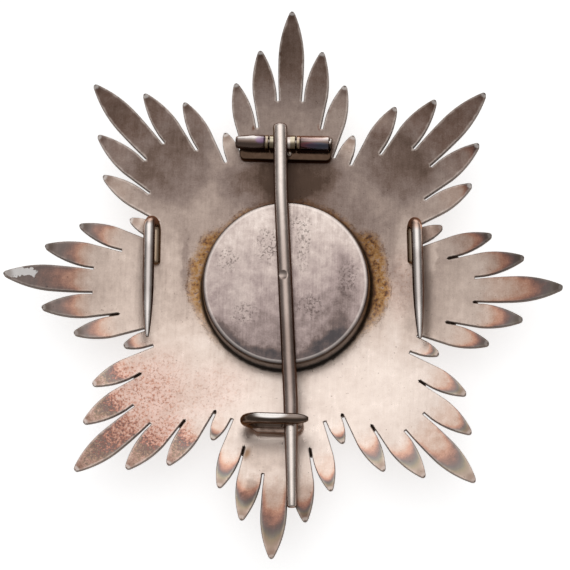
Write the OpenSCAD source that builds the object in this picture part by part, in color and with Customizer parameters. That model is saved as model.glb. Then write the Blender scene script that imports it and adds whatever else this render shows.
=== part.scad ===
// Breast star of silver, an eight-pointed star of 48 rays, lying on its front.
// +Z points out of the back, +Y to the hinge of the pin and +X to the right.
// The origin is on the face of the front medallion, under the star's centre.
// All sizes are in millimetres and all angles in degrees.

/* [Star] */
// Radius to the tips of the eight long rays
long_ray_r = 42.5; // [39:0.5:48]
// Radius to the tips of the middle rays, one on each side of a long ray
mid_ray_r = 36.9; // [33:0.1:41]
// Radius to the tips of the short rays, at the outside of each group
short_ray_r = 32.7; // [29:0.1:36]
// Radius to the tips of the small rays, between two groups
small_ray_r = 26; // [24:0.1:29]
// Width of a long ray at its widest place
long_ray_w = 3.95; // [3:0.05:4.3]
// Width of a middle ray at its widest place
mid_ray_w = 3.65; // [2.8:0.05:4]
// Width of a short ray at its widest place
short_ray_w = 3.2; // [2.4:0.05:3.5]
// Width of a small ray at its widest place
small_ray_w = 2.4; // [1.8:0.05:2.7]
// Length of the rounded point of a long ray, from its widest place to its tip
long_point_l = 7.2; // [5:0.1:10]
// Length of the rounded point of a middle ray
mid_point_l = 6.4; // [4.5:0.1:8]
// Length of the rounded point of a short ray
short_point_l = 5.5; // [4:0.1:7]
// Length of the rounded point of a small ray
small_point_l = 3.4; // [2.5:0.1:4.3]
// Width of the blunt end of every ray
tip_w = 0.55; // [0.3:0.05:0.9]
// Radius at which the slit between a long and a middle ray ends
long_slit_r = 29.1; // [27.5:0.1:31]
// Radius at which the slit between a middle and a short ray ends
mid_slit_r = 25.4; // [24.6:0.1:27]
// Radius at which the slit between a short and a small ray ends
short_slit_r = 21.7; // [20.5:0.1:23.3]
// Width of the slits
slit_w = 0.35; // [0.2:0.05:0.6]
// Height of the tips of the long rays above the middle of the dished back
vault_h = 6.6; // [4:0.1:9]
// Thickness of the plate at its centre
plate_t = 1.5; // [1.2:0.1:2.5]
// Thickness of a ray at its edges
edge_t = 1.2; // [0.8:0.1:1.6]
// Height of the ridge along the front of a long ray
ridge_h = 0.9; // [0.4:0.05:1.2]

/* [Front medallion] */
// Diameter of the medallion
medallion_d = 28; // [24:0.5:32]
// Height of the medallion
medallion_h = 3; // [2:0.1:5]
// Width of its raised rim
medallion_rim_w = 1.8; // [1:0.1:3]
// Depth of the field inside the rim
medallion_field_depth = 0.9; // [0.4:0.1:1.2]
// Height of the dome in the middle of the field
medallion_dome_h = 0.6; // [0.2:0.1:0.8]
// Width of the flat ring between the dome and the rim of the medallion
medallion_dome_gap = 2; // [1:0.5:4]

/* [Back cover] */
// Diameter of the cover at its foot
cover_d = 25.8; // [22:0.1:30]
// Diameter of the flat face of the cover
cover_face_d = 24.4; // [20:0.1:24.8]
// Height of the cover above the plate
cover_h = 3.7; // [2.5:0.1:3.9]
// Rise of the middle of the face above its edge
cover_crown = 0.25; // [0:0.05:0.4]
// Height of the rounded edge of the face
cover_edge_h = 0.5; // [0.2:0.05:0.8]
// Thickness of the metal of the cover
cover_wall = 0.9; // [0.6:0.1:1.5]
// Place of the cover, to the right of the star's centre
cover_x = 0.45; // [-1:0.05:1]
// Place of the cover, above the star's centre
cover_y = 0.1; // [-1:0.05:1]

/* [Hinge] */
// Distance from the star's centre to the hinge axis
hinge_y = 22; // [20.5:0.1:23]
// Place of the middle of the barrel, left or right of the star's axis
barrel_x = -0.8; // [-2:0.1:2]
// Length of the barrel of the pin
barrel_l = 4; // [3:0.1:5]
// Outer diameter of the barrel and the tubes
tube_d = 2.4; // [2.2:0.05:2.9]
// Length of the left tube
left_tube_l = 5.1; // [4:0.1:6]
// Length of the right tube
right_tube_l = 5; // [4:0.1:6]
// Length of the tapered end of the left tube
left_taper_l = 2.6; // [1.5:0.1:3.5]
// Diameter of the closed left end of the left tube
left_end_d = 1.9; // [1.6:0.05:2.1]
// Length of the collar at the inner end of each tube
collar_l = 0.5; // [0.3:0.05:0.8]
// Depth of the groove behind the collar
groove_depth = 0.1; // [0.05:0.01:0.14]
// Diameter of the hinge rod
rod_d = 1.2; // [0.9:0.05:1.4]
// Distance that the riveted cap of the rod stays inside the round of the tubes
cap_inset = 0.2; // [0.2:0.05:0.4]
// Thickness of the riveted cap
cap_t = 0.35; // [0.25:0.05:0.6]
// Width of the base strip, along the pin
base_w = 4.7; // [4:0.1:5.4]
// Thickness of the base strip under the hinge axis
base_t = 1.7; // [1.2:0.05:2.2]
// Distance that the base strip stays short of the closed end of the left tube
base_left_inset = 0.6; // [0.2:0.1:1.5]
// Distance that the base strip stays short of the cap of the rod
base_right_inset = 0.2; // [0:0.05:0.5]
// Radius of the corners of the base strip
base_corner_r = 0.8; // [0.3:0.1:1.2]

/* [Pin] */
// Place of the stem on the barrel, left or right of the star's axis
stem_x = -1.05; // [-1.6:0.05:0]
// Diameter of the stem of the pin
stem_d = 2.2; // [1.8:0.05:2.4]
// Diameter of the stem at its blunt point
stem_tip_d = 1.5; // [1:0.05:1.7]
// Length of the stem from the hinge axis to its point
stem_l = 56.75; // [50:0.05:58]
// Length of the tail behind the hinge axis
tail_l = 2.55; // [1.8:0.05:2.8]
// Length of the tapered part of the stem
stem_taper_l = 15.5; // [8:0.5:16]
// Angle that the stem leans to the right where it leaves the hinge
stem_lean = 2.9; // [0:0.05:4]
// Distance from the hinge axis to the first slight bend of the stem
first_bend_at = 8.5; // [5:0.5:14]
// Angle that the first bend turns the stem to the right
first_bend = 1.8; // [0.5:0.1:3]
// Distance from the hinge axis to the second slight bend of the stem
second_bend_at = 40.5; // [30:0.5:41]
// Angle that the second bend turns the stem back to the left
second_bend = 1.9; // [0.5:0.1:3]
// Angle that the stem slopes down towards its point
stem_droop = 1.2; // [0.8:0.05:1.5]
// Diameter of the small round dimple punched in the stem
dimple_d = 1.6; // [0.8:0.05:1.7]
// Depth of the dimple
dimple_depth = 0.34; // [0.1:0.01:0.4]
// Distance from the hinge axis to the dimple
dimple_at = 21.3; // [15:0.1:29]
// Angle that the dimple sits round the stem, to the left of its top
dimple_turn = 12; // [-30:1:30]

/* [Catch] */
// Distance from the star's centre down to the catch
catch_y = 21.45; // [19.5:0.05:22]
// Diameter of the wire of the catch
catch_wire_d = 1.65; // [1.3:0.05:2]
// Place of the leftmost side of the catch, left of the star's axis
catch_left_x = 5.55; // [4.5:0.05:6.5]
// Place of the free end of the bar, right of the star's axis
bar_end_x = 4.9; // [4:0.05:6]
// Place of the end of the foot, right of the star's axis
foot_end_x = 3.9; // [2:0.1:5]
// Width of the foot
foot_w = 2.8; // [2:0.1:3.4]
// Thickness of the foot
foot_t = 1.25; // [0.9:0.05:1.6]

/* [Side hooks] */
// Diameter of the wire of the hooks
hook_wire_d = 1.75; // [1.4:0.05:2]
// Diameter of the hooks where the wire begins to taper off
hook_waist_d = 1.74; // [1.1:0.02:1.74]
// Diameter of the round point of the hooks
hook_tip_d = 0.6; // [0.4:0.05:0.9]
// Length of the free prong of the hooks
hook_prong_l = 17.1; // [12:0.1:20]
// Length of the tapered end of the prong
hook_taper_l = 9.6; // [5:0.1:11]
// Fullness of the tapered end, where 1 is a straight cone
hook_belly = 2.2; // [1:0.1:3]
// Height of the prong above the leg, centre to centre
hook_rise = 2.5; // [2:0.1:3.5]
// Distance that the prong stands outside the leg
hook_out = 0.7; // [0.1:0.05:1.5]
// Distance from the star's axis to the leg of the left hook
left_leg_x = 20; // [18.5:0.05:20.5]
// Distance from the star's axis to the leg of the right hook
right_leg_x = 19.45; // [18:0.05:20.5]
// Length of the leg of the left hook, which is soldered down
left_leg_l = 4.2; // [3:0.1:6]
// Length of the leg of the right hook
right_leg_l = 3.8; // [3:0.1:6]
// Height of the bend of the left hook above the star's centre
left_bend_y = 8.1; // [6:0.1:8.6]
// Height of the bend of the right hook above the star's centre
right_bend_y = 8.8; // [6:0.1:9]
// Angle that the left hook is turned
left_hook_turn = 1.6; // [-4:0.1:4]
// Angle that the right hook is turned
right_hook_turn = 3.4; // [-4:0.1:4]

/* [Clearances] */
// Gap under each piece that is soldered to the plate
seat_gap = 0.05; // [0.04:0.01:0.1]
// Radial play of the rod in the barrel, which turns on it
turn_gap = 0.05; // [0.02:0.01:0.08]
// Radial play of the rod in the fixed tubes
rod_gap = 0.03; // [0.02:0.01:0.05]
// Gap between the ends of the barrel and the tubes
end_gap = 0.15; // [0.08:0.01:0.25]
// Gap between the stem and the bar of the catch
catch_gap = 0.06; // [0.03:0.01:0.2]

/* [Hidden] */
silver = "silver";
$fn = 64;

// The rays stand evenly round the star. A group runs from its long ray to the
// small ray and on to the next long ray.
LONG = 0;
MID = 1;
SHORT = 2;
SMALL = 3;
group = [LONG, MID, SHORT, SMALL, SHORT, MID];
group_n = 8;
ray_n = group_n * len(group);
pitch = 360 / ray_n;

// A row for each kind of ray: tip radius, width, length of the point
TIP = 0;
WIDTH = 1;
POINT = 2;
rays = [
    [long_ray_r, long_ray_w, long_point_l],
    [mid_ray_r, mid_ray_w, mid_point_l],
    [short_ray_r, short_ray_w, short_point_l],
    [small_ray_r, small_ray_w, small_point_l],
];
slit_ends = [long_slit_r, mid_slit_r, short_slit_r];

// The back is the inside of a large sphere.
vault_r = (pow(long_ray_r, 2) + pow(vault_h, 2)) / (2 * vault_h);
back_z0 = medallion_h + plate_t;
function back_z(r) = back_z0 + vault_r - sqrt(pow(vault_r, 2) - pow(r, 2));

// Rings of the plate, from under the cover to the end of the outermost slits
seat_r = medallion_d / 2 + 0.3;
hub_r = 0.78 * seat_r;
rings = [
    hub_r,
    seat_r,
    seat_r + (short_slit_r - seat_r) / 3,
    seat_r + (short_slit_r - seat_r) * 2 / 3,
    short_slit_r,
    (short_slit_r + mid_slit_r) / 2,
    mid_slit_r,
    (mid_slit_r + long_slit_r) / 2,
    long_slit_r,
];

// Shares of the straight part and of the point at which a ray has a row
straight_shares = [0.4, 0.8];
point_shares = [1, 0.74, 0.52, 0.34, 0.2, 0.1, 0.03, 0];

function ray_kind(i) = group[(i + ray_n) % len(group)];
function ray_tip(i) = rays[ray_kind(i)][TIP];
function slit_end(i) = slit_ends[min(ray_kind(i), ray_kind(i + 1))];
function ray_root(i) = max(slit_end(i - 1), slit_end(i));
function ray_point(i) = min(rays[ray_kind(i)][POINT], 0.9 * (ray_tip(i) - ray_root(i)));

// Distances from the centre, along the ray's own axis, of its rows
function ray_rows(i) =
    let (root = ray_root(i), tip = ray_tip(i), point = ray_point(i))
    concat(
        [for (r = rings) if (r <= root) r],
        [for (s = straight_shares) root + s * (tip - point - root)],
        [for (s = point_shares) tip - s * point]
    );

// Half of the width up to the middle of the slit's side, at distance a
function slit_side(a) = a * tan(pitch / 2) - slit_w / 2;

// Half of the width of the rounded point, u from the tip, as one arc
function point_half(u, half, point) =
    let (sag = half - tip_w / 2, arc_r = (pow(point, 2) + pow(sag, 2)) / (2 * sag))
    u == 0 ? tip_w / 4 : half - arc_r + sqrt(pow(arc_r, 2) - pow(point - u, 2));

// Half of the width from the slit's end to the widest place, as an ease
function flank_half(a, half, root, widest) =
    half - (half - slit_side(root)) * pow((widest - a) / (widest - root), 2);

// Half of the width of ray i at distance a, on the side whose slit ends at root
function ray_half(i, root, a) =
    let (half = rays[ray_kind(i)][WIDTH] / 2, widest = ray_tip(i) - ray_point(i))
    a <= root ? slit_side(a)
    : min(slit_side(a), a >= widest ? point_half(ray_tip(i) - a, half, ray_point(i))
                                    : flank_half(a, half, root, widest));

ridge_slope = ridge_h / (long_ray_w / 2);
function turned(p, angle) = [
    p[0] * cos(angle) - p[1] * sin(angle),
    p[0] * sin(angle) + p[1] * cos(angle),
];
function front_z(r, a) = a <= seat_r ? medallion_h : back_z(r) - edge_t;

// The five corners of a ray's section: two on the back, then the front edge,
// the ridge and the other front edge. Side 0 faces the ray before.
BACK_0 = 0;
BACK_1 = 1;
FRONT_1 = 2;
RIDGE = 3;
FRONT_0 = 4;
corner_n = 5;
function ray_section(i, a) =
    let (
        half_0 = ray_half(i, slit_end(i - 1), a),
        half_1 = ray_half(i, slit_end(i), a),
        edge_0 = turned([a, -half_0], 90 + i * pitch),
        edge_1 = turned([a, half_1], 90 + i * pitch),
        crest = turned([a, 0], 90 + i * pitch),
        ridge = a <= seat_r ? 0 : ridge_slope * (half_0 + half_1) / 2
    )
    [
        [each edge_0, back_z(norm(edge_0))],
        [each edge_1, back_z(norm(edge_1))],
        [each edge_1, front_z(norm(edge_1), a)],
        [each crest, front_z(a, a) - ridge],
        [each edge_0, front_z(norm(edge_0), a)],
    ];

row_counts = [for (i = [0 : ray_n - 1]) len(ray_rows(i))];
starts = [for (i = 0, s = 0; i < ray_n; s = s + corner_n * row_counts[i], i = i + 1) s];
star_points = concat(
    [for (i = [0 : ray_n - 1]) for (a = ray_rows(i)) each ray_section(i, a)],
    [[0, 0, back_z0], [0, 0, medallion_h]]
);
back_centre = len(star_points) - 2;
front_centre = len(star_points) - 1;

function corner(i, row, which) = starts[(i + ray_n) % ray_n] + corner_n * row + which;
function two_triangles(a, b, c, d) = [[a, c, b], [a, d, c]];
function strip(i, row, m, n) =
    two_triangles(corner(i, row, m), corner(i, row + 1, m), corner(i, row + 1, n), corner(i, row, n));
function ring_of(r) = search(r, rings)[0];

// Skin of one ray: back, front, its free sides and its end
function ray_faces(i) =
    let (last = row_counts[i] - 1, open_0 = ring_of(slit_end(i - 1)), open_1 = ring_of(slit_end(i)))
    concat(
        [for (row = [0 : last - 1]) each strip(i, row, BACK_0, BACK_1)],
        [for (row = [0 : last - 1]) each strip(i, row, FRONT_1, RIDGE)],
        [for (row = [0 : last - 1]) each strip(i, row, RIDGE, FRONT_0)],
        [for (row = [open_1 : last - 1]) each strip(i, row, BACK_1, FRONT_1)],
        [for (row = [open_0 : last - 1]) each strip(i, row, FRONT_0, BACK_0)],
        [for (m = [BACK_1 : RIDGE])
            [corner(i, last, BACK_0), corner(i, last, m), corner(i, last, m + 1)]]
    );

// The narrow web that joins two rays inside their slit, and the slit's end
function web_faces(i) =
    let (end = ring_of(slit_end(i)))
    concat(
        [for (row = [0 : end - 1]) each two_triangles(
            corner(i, row, BACK_1), corner(i, row + 1, BACK_1),
            corner(i + 1, row + 1, BACK_0), corner(i + 1, row, BACK_0))],
        [for (row = [0 : end - 1]) each two_triangles(
            corner(i + 1, row, FRONT_0), corner(i + 1, row + 1, FRONT_0),
            corner(i, row + 1, FRONT_1), corner(i, row, FRONT_1))],
        two_triangles(
            corner(i, end, BACK_1), corner(i, end, FRONT_1),
            corner(i + 1, end, FRONT_0), corner(i + 1, end, BACK_0))
    );

// The middle of the plate, closed to one point on each face
function hub_faces(i) = [
    [back_centre, corner(i, 0, BACK_1), corner(i, 0, BACK_0)],
    [back_centre, corner(i + 1, 0, BACK_0), corner(i, 0, BACK_1)],
    [front_centre, corner(i, 0, RIDGE), corner(i, 0, FRONT_1)],
    [front_centre, corner(i, 0, FRONT_0), corner(i, 0, RIDGE)],
    [front_centre, corner(i, 0, FRONT_1), corner(i + 1, 0, FRONT_0)],
];

module star_body() color(silver)
    polyhedron(
        points = star_points,
        faces = [for (i = [0 : ray_n - 1]) each concat(ray_faces(i), web_faces(i), hub_faces(i))]
    );

// The space above the dished back, in which the soldered pieces stand
space_h = 20;
space_top = back_z0 + vault_h + space_h;
module above_plate() {
    radii = concat([0], rings, [(long_slit_r + long_ray_r) / 2, long_ray_r]);
    rotate_extrude($fn = 128) polygon(concat(
        [for (r = radii) [r, back_z(r) + seat_gap]],
        [[long_ray_r, space_top], [0, space_top]]
    ));
}

// The medallion is a round boss whose rim carries the star as it lies. Its
// field is sunk inside the rim, with a low dome in the middle.
medallion_dome_r = medallion_d / 2 - medallion_rim_w - medallion_dome_gap;
rim_round = 0.25;
module front_medallion() color(silver)
    rotate_extrude($fn = 96) polygon([
        [0, medallion_field_depth - medallion_dome_h],
        [medallion_dome_r / 2, medallion_field_depth - medallion_dome_h * 0.75],
        [medallion_dome_r, medallion_field_depth],
        [medallion_d / 2 - medallion_rim_w, medallion_field_depth],
        [medallion_d / 2 - medallion_rim_w, rim_round],
        [medallion_d / 2 - medallion_rim_w + rim_round, 0],
        [medallion_d / 2 - rim_round, 0],
        [medallion_d / 2, rim_round],
        [medallion_d / 2, medallion_h - seat_gap],
        [0, medallion_h - seat_gap],
    ]);

// The cover is a drawn cap: a slightly sloping wall, a rounded edge and a face
// with a low crown.
cover_r = cover_d / 2;
face_r = min(cover_face_d / 2, cover_r - 0.2);
wall_top_r = (cover_r + face_r) / 2 + 0.15;
cover_foot_z = back_z(cover_r - norm([cover_x, cover_y]) - 1);
cover_face_z = back_z(cover_r) + cover_h;
function cover_edge(angle) = [
    face_r + (wall_top_r - face_r) * cos(angle),
    cover_face_z - cover_edge_h * (1 - sin(angle)),
];
module back_cover() color(silver)
    intersection() {
        translate([cover_x, cover_y, 0]) rotate_extrude($fn = 96) polygon(concat(
            [[face_r - cover_wall, back_z0], [cover_r, back_z0], [cover_r, cover_foot_z]],
            [for (angle = [0 : 22.5 : 90]) cover_edge(angle)],
            [for (s = [0.75, 0.5, 0.25, 0]) [s * face_r, cover_face_z + cover_crown * (1 - pow(s, 2))]],
            [[0, cover_face_z - cover_wall], [face_r - cover_wall, cover_face_z - cover_wall]]
        ));
        above_plate();
    }

// The hinge axis runs along X. Its height follows from the base strip.
base_top_z = back_z(hinge_y) + base_t;
tube_sink = 0.15;
axis_z = base_top_z + tube_d / 2 - tube_sink;
barrel_left = barrel_x - barrel_l / 2;
barrel_right = barrel_x + barrel_l / 2;
left_tube_in = barrel_left - end_gap;
left_tube_out = left_tube_in - left_tube_l;
right_tube_in = barrel_right + end_gap;
right_tube_out = right_tube_in + right_tube_l;
cap_in = right_tube_out + end_gap;
base_left = left_tube_out + base_left_inset;
base_right = cap_in + cap_t - base_right_inset;
rod_left = left_tube_out + 0.8;

// Turns a profile of [place along X, radius] into a solid round the hinge axis
module on_hinge_axis(profile)
    translate([0, hinge_y, axis_z]) rotate([0, 90, 0]) rotate_extrude()
        polygon([for (p = profile) [p[1], p[0]]]);

module hinge_bore(left, right, d)
    translate([left, hinge_y, axis_z]) rotate([0, 90, 0]) cylinder(d = d, h = right - left);

tube_r = tube_d / 2;
cap_r = tube_r - cap_inset;
groove_r = tube_r - groove_depth;
groove_w = 0.2;
end_round = 0.3;
module hinge_base()
    intersection() {
        translate([base_left, hinge_y - base_w / 2, back_z0])
            linear_extrude(base_top_z - back_z0) translate([base_corner_r, base_corner_r])
                hull() for (x = [0, 1], y = [0, 1])
                    translate([
                        x * (base_right - base_left - 2 * base_corner_r),
                        y * (base_w - 2 * base_corner_r),
                    ]) circle(r = base_corner_r, $fn = 32);
        above_plate();
    }

module hinge() color(silver)
    difference() {
        union() {
            hinge_base();
            on_hinge_axis([
                [left_tube_out, 0],
                [left_tube_out, left_end_d / 2 - end_round],
                [left_tube_out + 0.3 * end_round, left_end_d / 2 - 0.3 * end_round],
                [left_tube_out + end_round, left_end_d / 2],
                [left_tube_out + left_taper_l, tube_r],
                [left_tube_in - collar_l - groove_w, tube_r],
                [left_tube_in - collar_l - groove_w / 2, groove_r],
                [left_tube_in - collar_l, tube_r],
                [left_tube_in, tube_r],
                [left_tube_in, 0],
            ]);
            on_hinge_axis([
                [right_tube_in, 0],
                [right_tube_in, tube_r],
                [right_tube_in + collar_l, tube_r],
                [right_tube_in + collar_l + groove_w / 2, groove_r],
                [right_tube_in + collar_l + groove_w, tube_r],
                [right_tube_out - end_round / 2, tube_r],
                [right_tube_out, tube_r - end_round / 2],
                [right_tube_out, 0],
            ]);
        }
        hinge_bore(rod_left - end_gap, right_tube_out + 1, rod_d + 2 * rod_gap);
        hinge_bore(left_tube_in, right_tube_in, tube_d + 2 * end_gap);
    }

module hinge_rod() color(silver)
    on_hinge_axis([
        [rod_left, 0],
        [rod_left, rod_d / 2],
        [cap_in, rod_d / 2],
        [cap_in, cap_r],
        [cap_in + cap_t / 2, cap_r],
        [cap_in + cap_t * 0.85, cap_r - cap_t * 0.3],
        [cap_in + cap_t, cap_r - cap_t * 0.8],
        [cap_in + cap_t, 0],
    ]);

// The stem lies on top of the barrel and slopes down. At each of its two slight
// bends a ball joins the straight lengths, a hair prouder than the stem.
stem_sink = 0.4;
stem_z = axis_z + (tube_d + stem_d) / 2 - stem_sink;
stem_r = stem_d / 2;
stem_tip_r = stem_tip_d / 2;
stem_turn_r = stem_r + 0.012;
stem_end_cut = 0.06;
middle_l = second_bend_at - first_bend_at;
point_l = stem_l - second_bend_at;
taper_start = stem_l - stem_taper_l;
tail_round = 0.6;
tip_round = 0.35;
function stem_r_at(s) = s < taper_start ? stem_r
    : stem_r - (stem_r - stem_tip_r) * (s - taper_start) / stem_taper_l;
function stem_z_at(s) = stem_z - s * sin(stem_droop);

module at_stem() translate([stem_x, hinge_y, stem_z]) rotate([90 + stem_droop, 0, stem_lean]) children();
module past_bend(run, turn) translate([0, 0, run]) rotate([0, turn, 0]) children();

module stem_top()
    rotate_extrude() polygon(concat(
        [[0, -tail_l]],
        [for (angle = [-90 : 30 : 0]) [
            stem_r - tail_round * (1 - cos(angle)),
            tail_round - tail_l + tail_round * sin(angle),
        ]],
        [[stem_r, first_bend_at - stem_end_cut], [0, first_bend_at - stem_end_cut]]
    ));

module stem_point()
    rotate_extrude() polygon(concat(
        [[0, stem_end_cut], [stem_r, stem_end_cut], [stem_r, point_l - stem_taper_l]],
        [for (angle = [0 : 30 : 90]) [
            stem_tip_r - tip_round * (1 - cos(angle)),
            point_l - tip_round + tip_round * sin(angle),
        ]],
        [[0, point_l]]
    ));

module stem() {
    stem_top();
    past_bend(first_bend_at, first_bend) {
        sphere(r = stem_turn_r);
        translate([0, 0, stem_end_cut]) cylinder(r = stem_r, h = middle_l - 2 * stem_end_cut);
        past_bend(middle_l, -second_bend) {
            sphere(r = stem_turn_r);
            stem_point();
        }
    }
}

module pin() color(silver)
    difference() {
        union() {
            on_hinge_axis([
                [barrel_left, 0], [barrel_left, tube_r], [barrel_right, tube_r], [barrel_right, 0],
            ]);
            at_stem() stem();
        }
        hinge_bore(barrel_left - 1, barrel_right + 1, rod_d + 2 * turn_gap);
        at_stem() past_bend(first_bend_at, first_bend) rotate([0, 0, dimple_turn])
            translate([0, dimple_ball_lift, dimple_at - first_bend_at]) sphere(r = dimple_ball_r);
    }

// A ball whose cap of dimple_d sinks dimple_depth into the top of the stem
dimple_ball_r = (pow(dimple_d / 2, 2) + pow(dimple_depth, 2)) / (2 * dimple_depth);
dimple_ball_lift = stem_r - dimple_depth + dimple_ball_r;

// The catch is one bent wire on a flat foot. Its bar passes over the stem.
wire_r = catch_wire_d / 2;
stem_at_catch = (hinge_y + catch_y) / cos(stem_droop) / cos(stem_lean);
bar_z = stem_z_at(stem_at_catch) + stem_r_at(stem_at_catch) / cos(stem_droop) + catch_gap + wire_r;
foot_top_z = back_z(catch_y) + foot_t;
foot_wire_proud = 0.35;
foot_wire_l = 2.6;
foot_wire_z = foot_top_z + foot_wire_proud - wire_r;
bend_r = (bar_z - foot_wire_z) / 2;
bend_x = -catch_left_x + wire_r + bend_r;
bar_end_l = 1.7;
bar_end_r = 0.45 * wire_r;
bar_end_round = 0.2;
bar_l = bar_end_x - bend_x;
foot_left_x = bend_x - wire_r;
module catch_bend()
    translate([bend_x, -catch_y, foot_wire_z + bend_r]) rotate([90, 0, 0]) rotate([0, 0, 90])
        rotate_extrude(angle = 180, $fn = 48) translate([bend_r, 0]) circle(r = wire_r);

module catch_bar()
    translate([bar_end_x, -catch_y, bar_z]) rotate([0, -90, 0]) rotate_extrude() polygon([
        [0, 0],
        [bar_end_r - bar_end_round, 0],
        [bar_end_r, bar_end_round],
        [wire_r, bar_end_l],
        [wire_r, bar_l],
        [0, bar_l],
    ]);

module catch_leg()
    translate([bend_x + foot_wire_l, -catch_y, foot_wire_z]) rotate([0, -90, 0]) {
        cylinder(r = wire_r, h = foot_wire_l);
        sphere(r = wire_r);
    }

// The wire is hammered flat into the foot, which widens from neck to blade
foot_neck_w = 1;
foot_neck_l = 1.4;
module catch_foot()
    translate([foot_left_x, -catch_y, back_z0]) linear_extrude(foot_top_z - back_z0) {
        polygon([
            [-foot_neck_l, -foot_neck_w / 2],
            [0, -foot_w / 2],
            [foot_end_x - foot_left_x - foot_w / 2, -foot_w / 2],
            [foot_end_x - foot_left_x - foot_w / 2, foot_w / 2],
            [0, foot_w / 2],
            [-foot_neck_l, foot_neck_w / 2],
        ]);
        translate([foot_end_x - foot_left_x - foot_w / 2, 0]) circle(d = foot_w);
    }

module catch() color(silver)
    intersection() {
        union() {
            catch_bend();
            catch_bar();
            catch_leg();
            catch_foot();
        }
        above_plate();
    }

// One bent wire: a leg on the plate, a round bend and a free tapered prong. It
// is drawn with the leg along Z and the prong beside it, and then leaned outward.
hook_bend_r = norm([hook_rise, hook_out]) / 2;
hook_leg_sink = 0.15;
hook_leg_round = 0.35;
hook_wire_r = hook_wire_d / 2;
hook_waist_r = hook_waist_d / 2;
hook_tip_r = hook_tip_d / 2;
module hook_leg(l)
    rotate([0, 0, 180]) rotate_extrude() polygon([
        [0, 0],
        [hook_wire_r, 0],
        [hook_wire_r, l + hook_wire_r - hook_leg_round],
        [hook_wire_r - hook_leg_round, l + hook_wire_r],
        [0, l + hook_wire_r],
    ]);

module hook_prong()
    rotate_extrude() polygon(concat(
        [[0, 0], [hook_wire_r, 0]],
        [for (share = [0 : 0.2 : 0.8]) [
            hook_tip_r + (hook_waist_r - hook_tip_r) * (1 - pow(share, hook_belly)),
            hook_prong_l - hook_tip_r - (1 - share) * (hook_taper_l - hook_tip_r),
        ]],
        [for (angle = [0 : 30 : 90])
            [hook_tip_r * cos(angle), hook_prong_l - hook_tip_r * (1 - sin(angle))]]
    ));

module hook_bend()
    translate([hook_bend_r, 0, 0]) rotate([-90, 0, 0])
        rotate_extrude(angle = 180, $fn = 48) translate([hook_bend_r, 0]) circle(r = hook_wire_r);

module side_hook(leg_x, leg_l, bend_y, side, turn) {
    leg_z = back_z(norm([leg_x, bend_y - leg_l / 2])) + hook_wire_r - hook_leg_sink;
    intersection() {
        translate([side * leg_x, bend_y, leg_z]) rotate([0, 0, turn]) rotate([90, 0, 0])
            rotate([0, 0, atan2(hook_rise, side * hook_out)]) {
                hook_leg(leg_l);
                translate([2 * hook_bend_r, 0, 0]) hook_prong();
                hook_bend();
            }
        above_plate();
    }
}

module left_hook() color(silver) side_hook(left_leg_x, left_leg_l, left_bend_y, -1, left_hook_turn);

module right_hook() color(silver) side_hook(right_leg_x, right_leg_l, right_bend_y, 1, right_hook_turn);

star_body();
front_medallion();
back_cover();
hinge();
hinge_rod();
pin();
catch();
left_hook();
right_hook();
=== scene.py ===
import math
import bmesh
import bpy
from mathutils import Matrix, Vector


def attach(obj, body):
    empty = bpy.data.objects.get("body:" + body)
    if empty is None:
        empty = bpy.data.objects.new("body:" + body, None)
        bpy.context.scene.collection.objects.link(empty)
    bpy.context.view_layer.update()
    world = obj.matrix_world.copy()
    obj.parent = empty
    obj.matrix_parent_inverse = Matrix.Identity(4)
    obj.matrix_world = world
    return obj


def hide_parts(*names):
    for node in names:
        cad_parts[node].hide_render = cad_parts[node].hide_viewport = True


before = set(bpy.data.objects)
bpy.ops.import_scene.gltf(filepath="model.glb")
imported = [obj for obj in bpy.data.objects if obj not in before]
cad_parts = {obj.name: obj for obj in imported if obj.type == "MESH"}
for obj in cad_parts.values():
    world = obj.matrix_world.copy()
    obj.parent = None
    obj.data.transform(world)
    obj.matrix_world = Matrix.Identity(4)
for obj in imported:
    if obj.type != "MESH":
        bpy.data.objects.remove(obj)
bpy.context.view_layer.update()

mm = 0.001


# Star. One thick plate of silver, pierced and filed into 48 rays and then domed
# in a die, so that its back is hollow like a shallow bowl. The front has a ridge
# along each ray; slits between the rays end in small round saw holes.
ray_count = 48
pitch = math.radians(360 / ray_count)
back_middle_z = 4.5 * mm
dome_r = 140.137 * mm
edge_t = 1.2 * mm
slit_w = 0.35 * mm
filed_w = 0.13 * mm
seat_r = 14.3 * mm
seat_z = 3 * mm
seat_slope_l = 2.4 * mm
ridge_slope = 0.9 / 1.975
# Kind of ray: radius to its tip, width, length of its rounded point
rays = {
    "long": (42.5 * mm, 3.95 * mm, 7.2 * mm),
    "middle": (36.9 * mm, 3.65 * mm, 6.4 * mm),
    "short": (32.7 * mm, 3.2 * mm, 5.5 * mm),
    "small": (26 * mm, 2.4 * mm, 3.4 * mm),
}
ray_order = ["long", "middle", "short", "small", "short", "middle"]
slit_ends = {"long": 29.1 * mm, "middle": 25.4 * mm, "short": 21.7 * mm}
blunt_w = 0.55 * mm
blunt_round = 0.3 * mm
hub_r = 10.6 * mm
# Rows of points across a ray, with close ones at its tip, and columns of them along it
row_step = 0.74 * mm
tip_rows_l = 1.1 * mm
tip_rows = [0.6 * mm, 0.3 * mm, 0.15 * mm, 0.05 * mm, 0]
column_shares = [0, 0.36, 0.63, 0.83, 0.94, 1]
# Places nearer than this count as the same
hair = 0.001 * mm


def deselect():
    bpy.ops.object.select_all(action="DESELECT")


def only(piece):
    """Selects one piece alone."""
    deselect()
    piece.select_set(True)
    bpy.context.view_layer.objects.active = piece


def edit(piece):
    """Goes into edit mode on one piece, with nothing selected."""
    only(piece)
    bpy.ops.object.mode_set(mode="EDIT")
    bpy.ops.mesh.select_all(action="DESELECT")


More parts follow.
